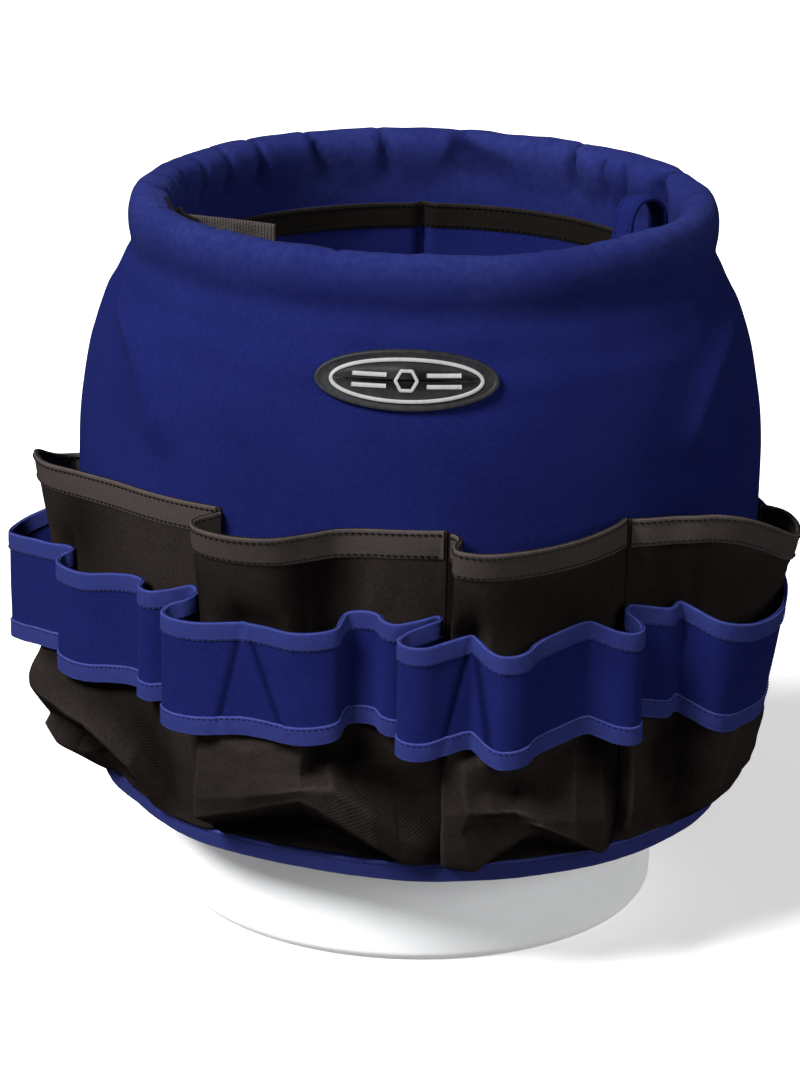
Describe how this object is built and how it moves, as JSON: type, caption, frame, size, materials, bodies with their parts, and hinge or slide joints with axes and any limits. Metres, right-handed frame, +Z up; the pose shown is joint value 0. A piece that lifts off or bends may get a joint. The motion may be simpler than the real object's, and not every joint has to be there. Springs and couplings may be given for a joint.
{
  "type": "tool bucket organizer",
  "caption": "Fabric tool organizer on a plastic pail: bellied skirt with outer pockets, a strip of tool loops, a padded rim and a pocketed liner inside.",
  "frame": {"origin": "centre of the pail's underside", "axes": "+Z up through the pail's mouth, -Y to the front, where the badge is, +X to the right seen from the front"},
  "size_m": [0.413, 0.4069, 0.393],
  "materials": {
    "pail_plastic": "white moulded polyethylene, satin",
    "navy_twill": "navy polyester twill, coated on the back",
    "blue_tape": "blue woven binding tape, double stitched",
    "dark_twill": "brown-black polyester twill",
    "dark_tape": "brown-grey woven binding tape, double stitched",
    "badge_rubber": "moulded soft rubber, satin",
    "emblem_grey": "light grey moulded ring",
    "webbing": "ribbed polyester webbing"
  },
  "bodies": {
    "pail": {"pail": "pail_plastic"},
    "organizer": {"badge_emblem": "emblem_grey", "badge_plate": "badge_rubber", "hem_binding_back": "blue_tape", "hem_binding_front": "blue_tape", "liner_back": "navy_twill", "liner_binding_back": "dark_tape", "liner_binding_front": "dark_tape", "liner_front": "navy_twill", "liner_pocket_back": "navy_twill", "liner_pocket_front": "navy_twill", "loop_binding_bottom_back": "blue_tape", "loop_binding_bottom_front": "blue_tape", "loop_binding_top_back": "blue_tape", "loop_binding_top_front": "blue_tape", "outer_pocket_back_1": "dark_twill", "outer_pocket_back_1_binding": "dark_tape", "outer_pocket_back_2": "dark_twill", "outer_pocket_back_2_binding": "dark_tape", "outer_pocket_back_3": "dark_twill", "outer_pocket_back_3_binding": "dark_tape", "outer_pocket_back_4": "dark_twill", "outer_pocket_back_4_binding": "dark_tape", "outer_pocket_front_1": "dark_twill", "outer_pocket_front_1_binding": "dark_tape", "outer_pocket_front_2": "dark_twill", "outer_pocket_front_2_binding": "dark_tape", "outer_pocket_front_3": "dark_twill", "outer_pocket_front_3_binding": "dark_tape", "outer_pocket_front_4": "dark_twill", "outer_pocket_front_4_binding": "dark_tape", "rim_roll_back": "navy_twill", "rim_roll_front": "navy_twill", "skirt_back": "navy_twill", "skirt_front": "navy_twill", "tool_loop_back_1": "navy_twill", "tool_loop_back_2": "navy_twill", "tool_loop_back_3": "navy_twill", "tool_loop_back_4": "navy_twill", "tool_loop_back_5": "navy_twill", "tool_loop_back_6": "navy_twill", "tool_loop_back_7": "navy_twill", "tool_loop_back_8": "navy_twill", "tool_loop_front_1": "navy_twill", "tool_loop_front_10": "navy_twill", "tool_loop_front_11": "navy_twill", "tool_loop_front_12": "navy_twill", "tool_loop_front_2": "navy_twill", "tool_loop_front_3": "navy_twill", "tool_loop_front_4": "navy_twill", "tool_loop_front_5": "navy_twill", "tool_loop_front_6": "navy_twill", "tool_loop_front_7": "navy_twill", "tool_loop_front_8": "navy_twill", "tool_loop_front_9": "navy_twill"},
    "webbing_end": {"webbing_tab": "webbing"},
    "tie_loop": {"tie_strap": "navy_twill"}
  },
  "joints": [
    {"name": "organizer_lift", "type": "slide", "parent": "pail", "child": "organizer", "axis": [0, 0, 1], "range_m": [0, 0.33]},
    {"name": "webbing_swing", "type": "hinge", "parent": "organizer", "child": "webbing_end", "pos_m": [-0.1315, -0.0232, 0.3675], "axis": [0, 0, 1], "range_deg": [0, 60]},
    {"name": "tie_strap_twist", "type": "hinge", "parent": "organizer", "child": "tie_loop", "pos_m": [0.112, -0.045, 0.354], "axis": [0, 0, 1], "range_deg": [-35, 35]}
  ]
}
